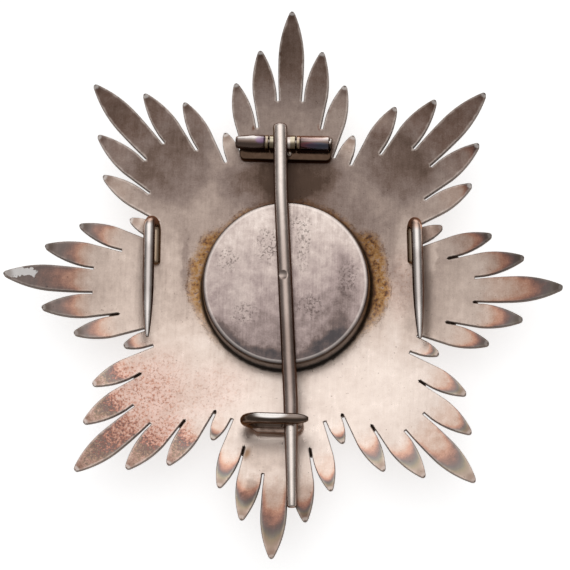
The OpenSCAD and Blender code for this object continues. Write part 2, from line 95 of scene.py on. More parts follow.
def pick(kind, wanted):
    """In edit mode, selects only the VERT, EDGE or FACE parts that wanted() accepts."""
    bpy.ops.mesh.select_mode(type=kind)
    bpy.ops.mesh.select_all(action="DESELECT")
    piece = bpy.context.object
    shape = bmesh.from_edit_mesh(piece.data)
    for part in {"VERT": shape.verts, "EDGE": shape.edges, "FACE": shape.faces}[kind]:
        if wanted(part):
            part.select_set(True)
    shape.select_flush_mode()
    bmesh.update_edit_mesh(piece.data)


def take_all():
    bpy.ops.mesh.select_all(action="SELECT")


def draw_out(x=0, y=0, z=0):
    """Extrudes what is selected by that much."""
    bpy.ops.mesh.extrude_region_move(TRANSFORM_OT_translate={"value": (x, y, z)})


def done():
    bpy.ops.object.mode_set(mode="OBJECT")


def apply_all(piece):
    """Applies the modifiers of a piece, and its place, turn and scale."""
    only(piece)
    for modifier in list(piece.modifiers):
        bpy.ops.object.modifier_apply(modifier=modifier.name)
    bpy.ops.object.transform_apply(location=True, rotation=True, scale=True)


def join(pieces, name):
    """Joins pieces into one and names it."""
    deselect()
    for piece in pieces:
        piece.select_set(True)
    bpy.context.view_layer.objects.active = pieces[0]
    bpy.ops.object.join()
    bpy.context.object.name = name
    return bpy.context.object


def soften(piece, angle=40):
    only(piece)
    bpy.ops.object.shade_smooth_by_angle(angle=math.radians(angle))


def kind_of(i):
    return ray_order[i % len(ray_order)]


def slit_between(i):
    """Radius at which the slit between ray i and ray i + 1 ends."""
    neighbours = [kind_of(i), kind_of(i + 1)]
    return slit_ends[next(kind for kind in rays if kind in neighbours)]


def slit_beside(i, across):
    """Radius at which the slit on that side of ray i ends."""
    return slit_between(i - 1) if across > 0 else slit_between(i)


def root_of(kind):
    """Radius at which the last of a ray's two slits ends."""
    return slit_ends[{"long": "long", "middle": "long", "short": "middle", "small": "short"}[kind]]


def half_width(kind, slit_end, a):
    """Half of a ray's width at distance a along it, on the side with that slit."""
    tip_r, width, point = rays[kind]
    point = min(point, 0.9 * (tip_r - root_of(kind)))
    half, widest, u = width / 2, tip_r - point, tip_r - a
    sag = half - blunt_w / 2
    arc_r = (point**2 + sag**2) / (2 * sag)
    sector = a * math.tan(pitch / 2)
    if a <= slit_end + hair:
        return sector
    slit_side = sector - slit_w / 2 * min(1, ((a - slit_end) / (slit_w / 2)) ** 0.5)
    if a < widest:
        start = slit_end * math.tan(pitch / 2) - slit_w / 2
        ease = half - (half - start) * ((widest - a) / (widest - slit_end)) ** 2
        return min(slit_side, ease)
    side = half - arc_r + math.sqrt(arc_r**2 - (point - u) ** 2)
    if u < blunt_round:
        side *= math.sqrt(max(0, 1 - (1 - u / blunt_round) ** 2))
    return min(slit_side, side)


def ray_rows(kind):
    """Distances from the centre at which a ray has a row of points."""
    root, tip_r = root_of(kind), rays[kind][0]
    rows, a = [], hub_r
    while a < root + hair:
        rows.append(a)
        if any(abs(a - end) < hair for end in slit_ends.values()):
            rows += [a + 0.04 * mm, a + slit_w / 2]
        a += row_step
    free_l = tip_r - tip_rows_l - root
    count = round(free_l / row_step)
    rows += [root + free_l * k / count for k in range(1, count + 1)]
    return rows + [tip_r - u for u in tip_rows]


def half_ray(kind, slit_end):
    """Half of a ray along +Y, from its middle line to its right-hand side, drawn out row by row."""
    rows = ray_rows(kind)
    columns = len(column_shares) - 1
    deselect()
    bpy.ops.mesh.primitive_grid_add(
        x_subdivisions=columns, y_subdivisions=1, size=1, location=(0.5, 0.5, 0)
    )
    bpy.ops.object.transform_apply(location=True)
    piece = bpy.context.object
    edit(piece)
    for k in range(columns - 1, 0, -1):
        pick("VERT", lambda v: abs(v.co.x - k / columns) < 0.01)
        bpy.ops.transform.translate(value=(column_shares[k] - k / columns, 0, 0))
    for end, row in ((0, rows[0]), (1, rows[1])):
        pick("VERT", lambda v: abs(v.co.y - end) < 0.001)
        bpy.ops.transform.resize(
            value=(half_width(kind, slit_end, row), 1, 1), center_override=(0, 0, 0)
        )
        bpy.ops.transform.translate(value=(0, row - end, 0))
    for before, row in zip(rows[1:], rows[2:]):
        draw_out(y=row - before)
        grown = half_width(kind, slit_end, row) / half_width(kind, slit_end, before)
        bpy.ops.transform.resize(value=(grown, 1, 1), center_override=(0, 0, 0))
    done()
    return piece


def back_z(r):
    return back_middle_z + dome_r - math.sqrt(dome_r**2 - r**2)


def ray_place(x, y):
    """The ray on which a point lies: its number, the distance along it and across it."""
    turn = math.atan2(y, x) - math.pi / 2
    i = round(turn / pitch) % ray_count
    across = Matrix.Rotation(-i * pitch, 2) @ Vector((x, y))
    return i, across.y, across.x


def edge_distance(i, a, across):
    """Distance from a point of ray i to the ray's own side."""
    tip_r = rays[kind_of(i)][0]
    return half_width(kind_of(i), slit_beside(i, across), min(a, tip_r)) - abs(across)


def along_slit(i, r):
    """Place at radius r on the line of the slit between ray i and ray i + 1, and that line's turn."""
    turn = math.radians(90) + (i + 0.5) * pitch
    return (r * math.cos(turn), r * math.sin(turn)), turn


half_rays = {}
sheet = []
for i in range(ray_count):
    for side in (1, -1):
        shape = (kind_of(i), slit_beside(i, side))
        if shape not in half_rays:
            half_rays[shape] = half_ray(*shape)
        half = half_rays[shape].copy()
        half.data = half.data.copy()
        half.scale.x = side
        half.rotation_euler.z = i * pitch
        bpy.context.collection.objects.link(half)
        sheet.append(half)
for model in half_rays.values():
    bpy.data.objects.remove(model)
star = join(sheet, "star_plate")
apply_all(star)
edit(star)
take_all()
bpy.ops.mesh.remove_doubles(threshold=8 * hair)
pick("EDGE", lambda e: e.is_boundary and e.verts[0].co.length < hub_r * 1.05)
bpy.ops.mesh.edge_face_add()
bpy.ops.mesh.poke()
take_all()
draw_out(z=-edge_t)
take_all()
bpy.ops.mesh.normals_make_consistent(inside=False)
done()
bevel = star.modifiers.new("Filed edge", "BEVEL")
bevel.width = filed_w
bevel.segments = 3
bevel.angle_limit = math.radians(60)
bevel.use_clamp_overlap = False
apply_all(star)

# The die: each point drops to the dome, and the front takes its ridges
for v in star.data.vertices:
    x, y, flat_z = v.co
    r = math.hypot(x, y)
    z = back_z(r) + flat_z
    on_front = flat_z < -0.8 * edge_t
    if on_front:
        ridge = ridge_slope * max(0, edge_distance(*ray_place(x, y)) - slit_w / 2)
        past_seat = min(1, max(0, (r - seat_r) / seat_slope_l))
        z = (1 - past_seat) * seat_z + past_seat * (z - ridge)
    v.co.z = z

# Dark plugs in some saw holes, put there as painted shade where the shaded slit wall shows: number of the
# ray before the slit, and its length in millimetres
slit_shade_plugs = [
    (13, 1.5), (16, 1.3), (19, 1.4), (20, 0.4), (22, 1.4), (25, 1.4), (27, 0.4), (28, 1), (31, 1.2),
    (34, 1.5), (35, 0.6), (37, 1.6),
]
plug_w, plug_h, plug_drop, plug_over_l = 0.48 * mm, 0.8 * mm, 0.5 * mm, 0.15 * mm
plugs = []
for i, length in slit_shade_plugs:
    middle = slit_between(i) + length * mm / 2
    (x, y), turn = along_slit(i, middle)
    deselect()
    bpy.ops.mesh.primitive_uv_sphere_add(
        segments=24, ring_count=12, location=(x, y, back_z(middle) - plug_drop),
        rotation=(0, 0, turn), scale=(length * mm / 2 + plug_over_l, plug_w / 2, plug_h / 2),
    )
    plugs.append(bpy.context.object)
star = join([star] + plugs, "star_plate")
apply_all(star)
soften(star, 32)

# Tarnish of each group of rays. Tone goes from bright, 0, to dark brown, 1: by the cover, at the
# waist and out in the rays. Each ray, taken counterclockwise from the short one, is darker by its
# extra. Reach is how many millimetres from its tip it turns orange, veil the film on the rest of
# the rays, thick how thick it is at the tips, depth how deep these colours are, and rub how far
# the filed edges are worn bright and how strong the painted highlight on edges and tips is.
toning = {
    "N": {"tone": (0.92, 0.6, 0.84), "extra": (-0.08, 0, 0.05, 0.06, -0.04, -0.3),
          "reach": (0, 0, 0, 0, 0, 0), "veil": 0.06, "depth": 0.8, "thick": 1, "rub_and_sheen": 1},
    "NW": {"tone": (0.58, 0.6, 0.82), "extra": (0, 0, 0.02, -0.12, -0.26, -0.4),
           "reach": (0, 0, 0, 0, 0, 0), "veil": 0.08, "depth": 0.8, "thick": 1, "rub_and_sheen": 1},
    "W": {"tone": (0.48, 0.34, 0.5), "extra": (-0.06, -0.02, 0.04, -0.06, -0.16, -0.2),
          "reach": (5.4, 8.6, 16, 8, 5.4, 2.4), "veil": 0.14, "depth": 0.8, "thick": 0.62, "rub_and_sheen": 0.35},
    "SW": {"tone": (0.22, 0.24, 0.38), "extra": (-0.28, -0.08, 0, -0.04, -0.1, -0.2),
           "reach": (4.2, 6.4, 7.6, 6.6, 5.8, 1.2), "veil": 0.22, "depth": 0.85, "thick": 0.9, "rub_and_sheen": 0.7},
    "S": {"tone": (0.18, 0.12, 0.34), "extra": (-0.3, -0.06, 0.12, 0.26, -0.26, -0.24),
          "reach": (3.6, 4.8, 7.2, 2.8, 1.9, 1.2), "veil": 0.15, "depth": 0.9, "thick": 1, "rub_and_sheen": 0.4},
    "SE": {"tone": (0.14, 0.06, 0.24), "extra": (-0.22, -0.2, -0.04, 0, 0, -0.1),
           "reach": (3.9, 5.2, 6.4, 2.2, 2.7, 1.4), "veil": 0.19, "depth": 0.82, "thick": 1, "rub_and_sheen": 0.4},
    "E": {"tone": (0.52, 0.47, 0.38), "extra": (-0.1, -0.1, 0.02, 0.14, 0.16, 0.1),
          "reach": (3, 4.8, 7.4, 4.2, 3, 0), "veil": 0.14, "depth": 0.92, "thick": 0.66, "rub_and_sheen": 0.25},
    "NE": {"tone": (0.72, 0.56, 0.82), "extra": (-0.2, -0.1, 0, 0.02, -0.06, -0.3),
           "reach": (1.6, 2, 0, 0, 0, 0), "veil": 0.12, "depth": 0.8, "thick": 0.62, "rub_and_sheen": 0.9},
}
groups = list(toning.values())
# Distances from the middle, in millimetres, of the three tones of a group
tone_radii = [16, 24, 34]
# Thickness of the sulphide film along a ray, by the share of its reach
film_shares = [0, 0.17, 0.27, 0.37, 0.47, 0.58, 0.7, 0.85, 1, 1.15, 1.3, 1.7]
film_values = [0.96, 0.92, 0.86, 0.78, 0.67, 0.55, 0.46, 0.38, 0.3, 0.2, 0.1, 0]


def between(value, steps, values):
    """Value on the broken line through the given steps, level past its ends."""
    if value <= steps[0]:
        return values[0]
    for low, high, first, second in zip(steps, steps[1:], values, values[1:]):
        if value <= high:
            return first + (second - first) * (value - low) / (high - low)
    return values[-1]


def smooth(value, low, high):
    share = min(1, max(0, (value - low) / (high - low)))
    return share * share * (3 - 2 * share)


def in_group(i):
    """Numbers of ray i's group and of the ray in it: a group starts two rays before its long one."""
    return divmod((i + 2) % ray_count, len(ray_order))


def of_group(i, what):
    return groups[in_group(i)[0]][what]


def of_ray(i, what):
    return of_group(i, what)[in_group(i)[1]]


def from_edge(x, y):
    """Distance in millimetres to the filed edge of the ray under a point."""
    i, a, across = ray_place(x, y)
    side = max(0, edge_distance(i, a, across))
    return math.hypot(side, max(0, slit_beside(i, across) - a)) / mm


def tone_at(x, y):
    """Tone of the plate: it runs from group to group, and is each ray's own past the slits' ends."""
    i, a, across = ray_place(x, y)
    turn = (math.atan2(y, x) / math.tau - 0.25) % 1 * len(groups)
    k, share = int(turn), smooth(turn % 1, 0.1, 0.9)
    r = math.hypot(x, y) / mm
    first, second = (between(r, tone_radii, groups[j % len(groups)]["tone"]) for j in (k, k + 1))
    whole = first + (second - first) * share
    own = between(r, tone_radii, of_group(i, "tone")) + of_ray(i, "extra")
    root = root_of(kind_of(i))
    return whole + (own - whole) * smooth(a, root - 0.5 * mm, root + 4.5 * mm)


def film_at(x, y):
    """Thickness of the film: it thins inward from the tip, and reaches farther in along the sides."""
    i, a, across = ray_place(x, y)
    reach = of_ray(i, "reach")
    root = root_of(kind_of(i))
    free = smooth(a, root - mm, root + 4 * mm)
    veil = of_group(i, "veil") * free
    if reach == 0:
        return veil
    inward = max(0, rays[kind_of(i)][0] - a) / mm
    inward *= 1 - 0.6 * math.exp(-from_edge(x, y) / 0.45)
    return max(veil, between(inward / reach, film_shares, film_values) * of_group(i, "thick") * free)


def from_tip(x, y):
    """Distance in millimetres to the point of the ray."""
    i, a, across = ray_place(x, y)
    return math.hypot(max(0, rays[kind_of(i)][0] - a), across) / mm


for name, rule in (
    ("tone", tone_at),
    ("film", film_at),
    ("film_depth", lambda x, y: of_group(ray_place(x, y)[0], "depth")),
    ("from_edge", from_edge),
    ("rub_and_sheen", lambda x, y: of_group(ray_place(x, y)[0], "rub_and_sheen")),
    ("from_tip", from_tip),
):
    values = star.data.attributes.new(name=name, type="FLOAT", domain="POINT").data
    for v, value in zip(star.data.vertices, values):
        value.value = rule(v.co.x, v.co.y)


# The node helpers work on the tree and the surface of the material in hand
def node(kind, inputs={}, **settings):
    """Adds a shader node with its settings, and sets or links its inputs."""
    made = tree.nodes.new("ShaderNode" + kind)
    for name, value in settings.items():
        setattr(made, name, value)
    for name, value in inputs.items():
        if isinstance(value, bpy.types.NodeSocket):
            tree.links.new(value, made.inputs[name])
        else:
            made.inputs[name].default_value = value
    return made


def new_material(name, *pieces):
    """Gives the pieces a new material, and returns its node tree and its surface node."""
    material = bpy.data.materials.new(name)
    material.use_nodes = True
    for piece in pieces:
        piece.data.materials.clear()
        piece.data.materials.append(material)
    return material.node_tree, material.node_tree.nodes["Principled BSDF"]


def ramp(value, stops):
    """Colour of a value, from stops of place and colour."""
    made = node("ValToRGB", {"Fac": value})
    line = made.color_ramp.elements
    for _ in stops[2:]:
        line.new(0.5)
    for element, (place, colour) in zip(line, stops):
        element.position = place
        element.color = (*colour, 1)
    return made.outputs["Color"]


def sum_of(first, second, share):
    """First value plus a share of the second."""
    return node("Math", {0: second, 1: share, 2: first}, operation="MULTIPLY_ADD").outputs[0]


def plus(first, second):
    return node("Math", {0: first, 1: second}, operation="ADD").outputs[0]


def times(first, second):
    return node("Math", {0: first, 1: second}, operation="MULTIPLY").outputs[0]


def without_sign(value):
    return node("Math", {0: value}, operation="ABSOLUTE").outputs[0]


def greatest(values):
    most = values[0]
    for value in values[1:]:
        most = node("Math", {0: most, 1: value}, operation="MAXIMUM").outputs[0]
    return most


def rescaled(value, low, high, first, last):
    """Straight run from first to last while the value goes from low to high, level past them."""
    return node("MapRange", {
        "Value": value, "From Min": low, "From Max": high, "To Min": first, "To Max": last,
    }).outputs["Result"]


def part_along(place, axis):
    return node("SeparateXYZ", {"Vector": place}).outputs[axis]


def painted(name):
    """Value that was written on the points of the piece under this name."""
    return node("Attribute", attribute_name=name).outputs["Fac"]


def noise(place, scale, detail=3, rough=0.55, centred=True):
    """Cloudy noise in lumps of about 1 / scale: round 0 if centred, else from 0 to 1."""
    cloud = node(
        "TexNoise", {"Vector": place, "Scale": scale, "Detail": detail, "Roughness": rough}
    ).outputs["Fac"]
    return sum_of(cloud, 1.0, -0.5) if centred else cloud


def wander(place, scale, detail, reach, centred=True):
    """Place pushed about by noise, so that what is drawn there gets uneven edges."""
    push = node("TexNoise", {"Vector": place, "Scale": scale, "Detail": detail}).outputs["Color"]
    if centred:
        push = node("VectorMath", {0: push, 1: (-0.5, -0.5, -0.5)}, operation="ADD").outputs[0]
    push = {0: push, 1: (reach, reach, 0), 2: place}
    return node("VectorMath", push, operation="MULTIPLY_ADD").outputs[0]


def step(value, low, high):
    """Smooth step from 0 at low to 1 at high."""
    return node(
        "MapRange", {"Value": value, "From Min": low, "From Max": high},
        interpolation_type="SMOOTHSTEP",
    ).outputs["Result"]


def blend(share, first, second, kind="MIX"):
    """Colour between two, by share."""
    made = node("MixRGB", {"Fac": share, "Color1": first, "Color2": second}, blend_type=kind)
    return made.outputs["Color"]


def coated(colour, mask, share, dye, kind="MIX"):
    """Colour with that share of a dye over it where the mask is 1."""
    if isinstance(dye, tuple):
        dye = (*dye, 1)
    return blend(times(mask, share), colour, dye, kind)


def in_millimetres(stretch=(1, 1, 1)):
    """Object coordinates in millimetres, in which a pattern gets stretched."""
    place = node("TexCoord").outputs["Object"]
    return node("Mapping", {"Vector": place, "Scale": [1 / mm / part for part in stretch]}).outputs[0]


def flat_length(vector):
    """Length of a vector as seen from above."""
    flat = node("VectorMath", {0: vector, 1: (1, 1, 0)}, operation="MULTIPLY").outputs[0]
    return node("VectorMath", {0: flat}, operation="LENGTH").outputs["Value"]


def from_cover(place):
    """Distance in millimetres from the middle of the back cover."""
    middle = (cover_x / mm, cover_y / mm, 0)
    off = node("VectorMath", {0: place, 1: middle}, operation="SUBTRACT").outputs[0]
    return flat_length(off)


def spot(place, centre, size, turn=0, soft=0.35):
    """Mask of a blot: 1 inside and 0 outside an ellipse of that half length and half width."""
    local = node(
        "Mapping",
        {"Vector": place, "Location": (*centre, 0), "Rotation": (0, 0, math.radians(turn)),
         "Scale": (*size, 1)},
        vector_type="TEXTURE",
    ).outputs[0]
    return step(flat_length(local), 1 + soft, 1 - soft)


def feed(value, name):
    """Links a value to an input of the material's surface."""
    tree.links.new(value, surface.inputs[name])


def emboss(height, strength):
    bump = node("Bump", {"Height": height, "Strength": strength, "Distance": bump_depth})
    feed(bump.outputs["Normal"], "Normal")


cover_x, cover_y = 0.45 * mm, 0.1 * mm
bump_depth = 0.03 * mm

tree, surface = new_material("toned_silver_plate_with_painted_light", star)
place = in_millimetres()
clouds = noise(place, 0.2, 5)
blotches = noise(place, 0.85, 4)
grain = noise(place, 4.5, 2)
strokes = noise(in_millimetres(stretch=(0.35, 6, 1)), 1, 4, 0.6)
wandering = wander(place, 0.7, 4, 2.4)
cracks = step(without_sign(noise(wandering, 1.3, 3, 0.6)), 0.05, 0)

tone = painted("tone")
for cloud, share in ((clouds, 0.34), (blotches, 0.16), (grain, 0.16), (strokes, 0.1)):
    tone = sum_of(tone, cloud, share)
# Purple-grey bloom between the upper groups, solder flow below the catch, a mottled ray
for centre, size, turn, deeper in (
    ((-17.5, 18.5), (7, 5), 45, 0.16),
    ((16.5, 19.5), (6.5, 4.5), -45, 0.2),
    ((-1.8, -26.5), (3.6, 2.1), -8, 0.17),
    ((0.5, 17.6), (7, 3.2), 0, 0.2),
    ((-8.6, 16.3), (2.6, 2.4), 0, 0.12),
    ((-3.6, -32.2), (1.1, 2.4), -8, 0.28),
    ((18.6, 7), (1.7, 4.6), 0, -0.16),
    ((22.2, 5.2), (1.1, 2.6), 0, -0.14),
    ((17, -4), (1.5, 5), 0, -0.12),
    ((-12, 14), (3, 2), 45, -0.04),
    ((-15.2, 3.4), (0.7, 4.2), 0, 0.14),
    ((-17.2, 3.4), (0.9, 4.6), 0, -0.06),
):
    tone = sum_of(tone, spot(wandering, centre, size, turn), deeper)
metal = ramp(tone, [
    (0, (0.98, 0.84, 0.75)),
    (0.15, (0.88, 0.74, 0.655)),
    (0.3, (0.76, 0.615, 0.53)),
    (0.45, (0.6, 0.475, 0.405)),
    (0.6, (0.45, 0.345, 0.295)),
    (0.72, (0.332, 0.25, 0.216)),
    (0.85, (0.222, 0.152, 0.122)),
    (1, (0.12, 0.076, 0.056)),
])
film = sum_of(sum_of(painted("film"), blotches, 0.2), grain, 0.1)
# Speckled film over the lower left rays and beside the cover
flecks = noise(place, 2.6, 3, 0.68)
speckled = greatest([
    times(spot(wandering, centre, size, turn, 0.5), share)
    for centre, size, turn, share in (
        ((-23, -20), (10, 7), 42, 0.85),
        ((-30.5, -29), (9.5, 4.2), 45, 1),
        ((-18.2, -25.8), (5, 6.4), -28, 1),
        ((-29.5, -18.5), (6.5, 3.6), 30, 0.9),
        ((-12, -17), (7, 4), 20, 0.35),
        ((18, 1), (2.2, 5), 0, 0.3),
    )
])
film = sum_of(film, times(speckled, sum_of(0.07, flecks, 1)), 1.7)
film_colour = ramp(film, [
    (0.04, (1, 1, 1)),
    (0.2, (0.92, 0.78, 0.71)),
    (0.3, (0.8, 0.5, 0.39)),
    (0.38, (0.55, 0.32, 0.27)),
    (0.46, (0.33, 0.225, 0.22)),
    (0.55, (0.22, 0.215, 0.245)),
    (0.67, (0.3, 0.33, 0.31)),
    (0.78, (0.5, 0.48, 0.37)),
    (0.86, (0.6, 0.54, 0.48)),
    (0.95, (0.8, 0.73, 0.69)),
])
colour = blend(painted("film_depth"), metal, film_colour, "MULTIPLY")

# Dark outlines between the copper specks of the lower left rays
crazed = wander(place, 2.5, 2, 0.5, centred=False)
cells = node("TexVoronoi", {"Vector": crazed, "Scale": 1.25}, feature="DISTANCE_TO_EDGE")
outline = times(step(cells.outputs["Distance"], 0.1, 0.02), step(flecks, -0.02, 0.08))
colour = coated(colour, times(outline, speckled), 0.55, (0.17, 0.08, 0.065))
colour = blend(speckled, colour, (1, 0.86, 0.85, 1), "MULTIPLY")

# Golden solder stain round the cover, wider at its sides: a dark drying line, specks beyond
out = from_cover(place)
upper = rescaled(part_along(place, "Y"), -11, -2, 0.06, 1)
spread = sum_of(sum_of(out, clouds, 2.6), flecks, 1.1)
for centre, size, narrower in (((-14, 4), (3.4, 8), -1.5), ((15.2, 4), (3.6, 9), -2.1)):
    spread = sum_of(spread, spot(place, centre, size, 0, 0.5), narrower)
stain = times(step(spread, 14.5, 12.9), upper)
golden = ramp(sum_of(noise(place, 1.5, 3, 0.6, centred=False), clouds, 0.5), [
    (0.36, (0.2, 0.1, 0.05)),
    (0.44, (0.6, 0.34, 0.11)),
    (0.54, (0.84, 0.57, 0.21)),
    (0.64, (0.85, 0.72, 0.6)),
])
colour = coated(colour, stain, 0.92, golden, "MULTIPLY")
drying = step(without_sign(plus(spread, -13.9)), 0.16, 0.03)
drying = times(times(drying, upper), step(blotches, -0.06, 0.06))
colour = coated(colour, drying, 0.6, (0.14, 0.07, 0.035))
specks = times(step(noise(place, 3, 2, 0.6), 0.1, 0.15), step(spread, 15.4, 13.4))
colour = coated(colour, times(specks, upper), 0.7, (0.13, 0.06, 0.04))
burnt = times(step(sum_of(out, clouds, 0.8), 13.75, 13.2), upper)
colour = coated(colour, burnt, 0.7, (0.15, 0.075, 0.04))
# A near-black line round the foot of the cover: dark solder seam, with painted contact shadow
seam_and_contact_shadow = step(sum_of(out, blotches, 0.5), 13.5, 13.05)
colour = coated(colour, seam_and_contact_shadow, 0.92, (0.022, 0.013, 0.008))

# Rubbed tip of the left ray, pits, rust in the saw holes and a brown drop
bare = spot(wandering, (-39.9, 0.5), (2.5, 0.7), 2, 0.05)
colour = coated(colour, bare, 0.95, (1, 0.97, 0.95))
pits = step(noise(place, 2.3, 3, 0.6), 0.17, 0.22)
colour = coated(colour, pits, 0.45, (0.2, 0.13, 0.1), "MULTIPLY")
for centre, size, turn, dye in (
    ((-5.55, 24.9), (0.2, 0.35), -15, (0.2, 0.08, 0.04)),
    ((4.6, 25.2), (0.22, 0.4), 12, (0.22, 0.08, 0.04)),
    ((-4.5, -26.1), (0.45, 0.8), -20, (0.3, 0.15, 0.06)),
):
    colour = coated(colour, spot(place, centre, size, turn, 0.8), 0.8, dye)
# Walls of the rays painted dark as shade, filed edges rubbed bright with a painted highlight, tips darker
# with a painted glint and a painted shaded end
edge = sum_of(painted("from_edge"), blotches, 0.5)
rub_and_sheen = painted("rub_and_sheen")
# Filed edges worn bright, with a painted highlight along them, strongest in the upper groups
rubbed_and_lit = times(step(edge, 0.42, 0.06), rub_and_sheen)
colour = coated(colour, rubbed_and_lit, 0.6, (0.93, 0.8, 0.72))
tip = sum_of(painted("from_tip"), blotches, 0.6)
# Painted highlight: a glint just short of each tip, as where a rounded end catches the light
painted_tip_glint = times(step(tip, 0.8, 0.5), step(tip, 0.1, 0.3))
colour = coated(colour, step(tip, 1.9, 0.9), 0.5, (0.4, 0.32, 0.28), "MULTIPLY")
colour = coated(colour, times(painted_tip_glint, rub_and_sheen), 0.5, (0.97, 0.92, 0.88))
# Painted shade: the very end of each tip is darkened, as its shaded end wall
colour = coated(colour, step(tip, 0.26, 0.08), 0.85, (0.1, 0.07, 0.055))
# Painted shade: where the surface turns away from straight up, on the walls, it is darkened and made
# rougher and less metallic
facing = part_along(node("TexCoord").outputs["Normal"], "Z")
painted_shade_walls = step(facing, 0.6, 0.4)
colour = coated(colour, painted_shade_walls, 0.85, (0.17, 0.12, 0.095))
# Painted shade: the plugs and the plate round the slit's end are coloured near black, and made rough and
# not metallic
slit_shade_spots = []
for i, length in slit_shade_plugs:
    centre, turn = along_slit(i, slit_between(i) / mm + length / 2 - 0.05)
    slit_shade_spots.append(spot(place, centre, (length / 2 + 0.06, 0.2), math.degrees(turn), 0.15))
painted_slit_shade = greatest(slit_shade_spots)
colour = blend(painted_slit_shade, colour, (0.03, 0.015, 0.009, 1))
feed(colour, "Base Color")

rough = sum_of(sum_of(times(tone, 0.1), blotches, 0.16), strokes, 0.14)
rough = sum_of(sum_of(plus(rough, 0.3), bare, 0.35), painted_slit_shade, 0.5)
feed(sum_of(rough, painted_shade_walls, 0.3), "Roughness")
relief = sum_of(sum_of(strokes, grain, 0.6), sum_of(cracks, pits, 1.0), -0.3)
emboss(relief, 0.3)
feed(step(sum_of(painted_slit_shade, painted_shade_walls, 0.6), 1, 0), "Metallic")
surface.inputs["Specular IOR Level"].default_value = 0.15
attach(star, "star")
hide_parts("star_body")


# Front medallion. A cast boss on the hidden front, with a raised rim, a sunk field and
# a low dome, on whose rim the star lies. Its seat is soldered to the front of the plate.
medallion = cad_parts["front_medallion"]
tree, surface = new_material("clean_silver", medallion)
place = in_millimetres()
haze = noise(place, 0.5, 4)
silver = ramp(plus(haze, 0.5), [(0.3, (0.72, 0.64, 0.58)), (0.7, (0.9, 0.85, 0.8))])
feed(silver, "Base Color")
feed(plus(haze, 0.3), "Roughness")
surface.inputs["Metallic"].default_value = 1


# Back cover. A cap drawn from thin silver sheet, with a low crown, a soft raised rim
# and a slightly sloping wall. Its foot is soldered to the plate all round, over the
# screws of the medallion.
solder_gap = 0.05 * mm
cover_foot_z = 4.9 * mm
# Radius and height of the outline, in millimetres: out along the foot, up the wall, over the rim,
# in to the middle of the crown and back underneath
cover_outline = [
    (11.4, 4.9), (12.9, 4.9), (12.88, 5.4), (12.72, 8.2), (12.68, 8.45), (12.58, 8.64), (12.42, 8.77),
    (12.24, 8.82), (12.05, 8.825), (11.9, 8.815), (11.75, 8.81), (11.5, 8.82), (11, 8.84), (9, 8.92),
    (6, 8.99), (3, 9.03), (0, 9.045), (0, 7.9), (11.4, 7.9), (11.4, 4.9),
]


def turned(name, outline, steps):
    """A piece turned on a lathe round Z, from its outline of radius and height."""
    deselect()
    bpy.ops.mesh.primitive_plane_add(size=mm, location=(outline[0][0], 0, outline[0][1]))
    bpy.ops.object.transform_apply(location=True)
    piece = bpy.context.object
    piece.name = name
    edit(piece)
    bpy.ops.mesh.select_mode(type="VERT")
    take_all()
    bpy.ops.mesh.merge(type="CENTER")
    for (r0, z0), (r1, z1) in zip(outline, outline[1:]):
        draw_out(r1 - r0, 0, z1 - z0)
    take_all()
    bpy.ops.mesh.spin(steps=steps, angle=math.tau, center=(0, 0, 0), axis=(0, 0, 1))
    take_all()
    bpy.ops.mesh.remove_doubles(threshold=2 * hair)
    bpy.ops.mesh.normals_make_consistent(inside=False)
    done()
    return piece


def seat(piece, floor_z):
    """Lifts or drops the lowest points of a piece onto the dished plate."""
    for v in piece.data.vertices:
        if v.co.z < floor_z + hair:
            v.co.z = back_z(math.hypot(v.co.x, v.co.y)) + solder_gap


cover = turned("cover_cap", [(r * mm, z * mm) for r, z in cover_outline], 128)
cover.location = (cover_x, cover_y, 0)
apply_all(cover)
seat(cover, cover_foot_z)
soften(cover, 50)

tree, surface = new_material("toned_cap_with_painted_light", cover)
place = in_millimetres()
clouds = noise(place, 0.2, 5)
blotches = noise(place, 0.8, 5, 0.6)
grain = noise(place, 4.5, 2)
strokes = noise(in_millimetres(stretch=(0.28, 7, 1)), 1, 4, 0.6)
wandering = wander(place, 0.9, 3, 2)
# Painted light and shade: the cap starts lighter towards the top and darker towards the bottom, as the
# light falls across it
tone = rescaled(part_along(place, "Y"), -11, 12, 0.64, 0.14)
for cloud, share in ((clouds, 0.45), (blotches, 0.3), (grain, 0.22), (strokes, 0.16)):
    tone = sum_of(tone, cloud, share)
for centre, size, turn, deeper in (
    ((8, -6.6), (3, 1.3), 42, 0.12),
    ((-2.5, -11.2), (4, 1.1), -12, 0.3),
    ((-8, -8.2), (3.6, 0.9), -45, 0.26),
    ((6.8, -9.2), (4, 1.2), 35, 0.3),
    ((1.5, 4), (0.9, 9), 2, 0.12),
    ((-6, -3), (2.4, 3.4), 0, -0.1),
    ((4, 3), (3, 5), 0, -0.1),
    ((9.5, 1), (1.8, 4), 0, 0.1),
    ((7, 0), (5, 8), 0, 0.12),
):
    tone = sum_of(tone, spot(wandering, centre, size, turn, 0.5), deeper)
colour = ramp(tone, [
    (0, (0.93, 0.81, 0.74)),
    (0.25, (0.66, 0.545, 0.495)),
    (0.5, (0.43, 0.335, 0.315)),
    (0.75, (0.2, 0.148, 0.135)),
    (1, (0.09, 0.078, 0.08)),
])
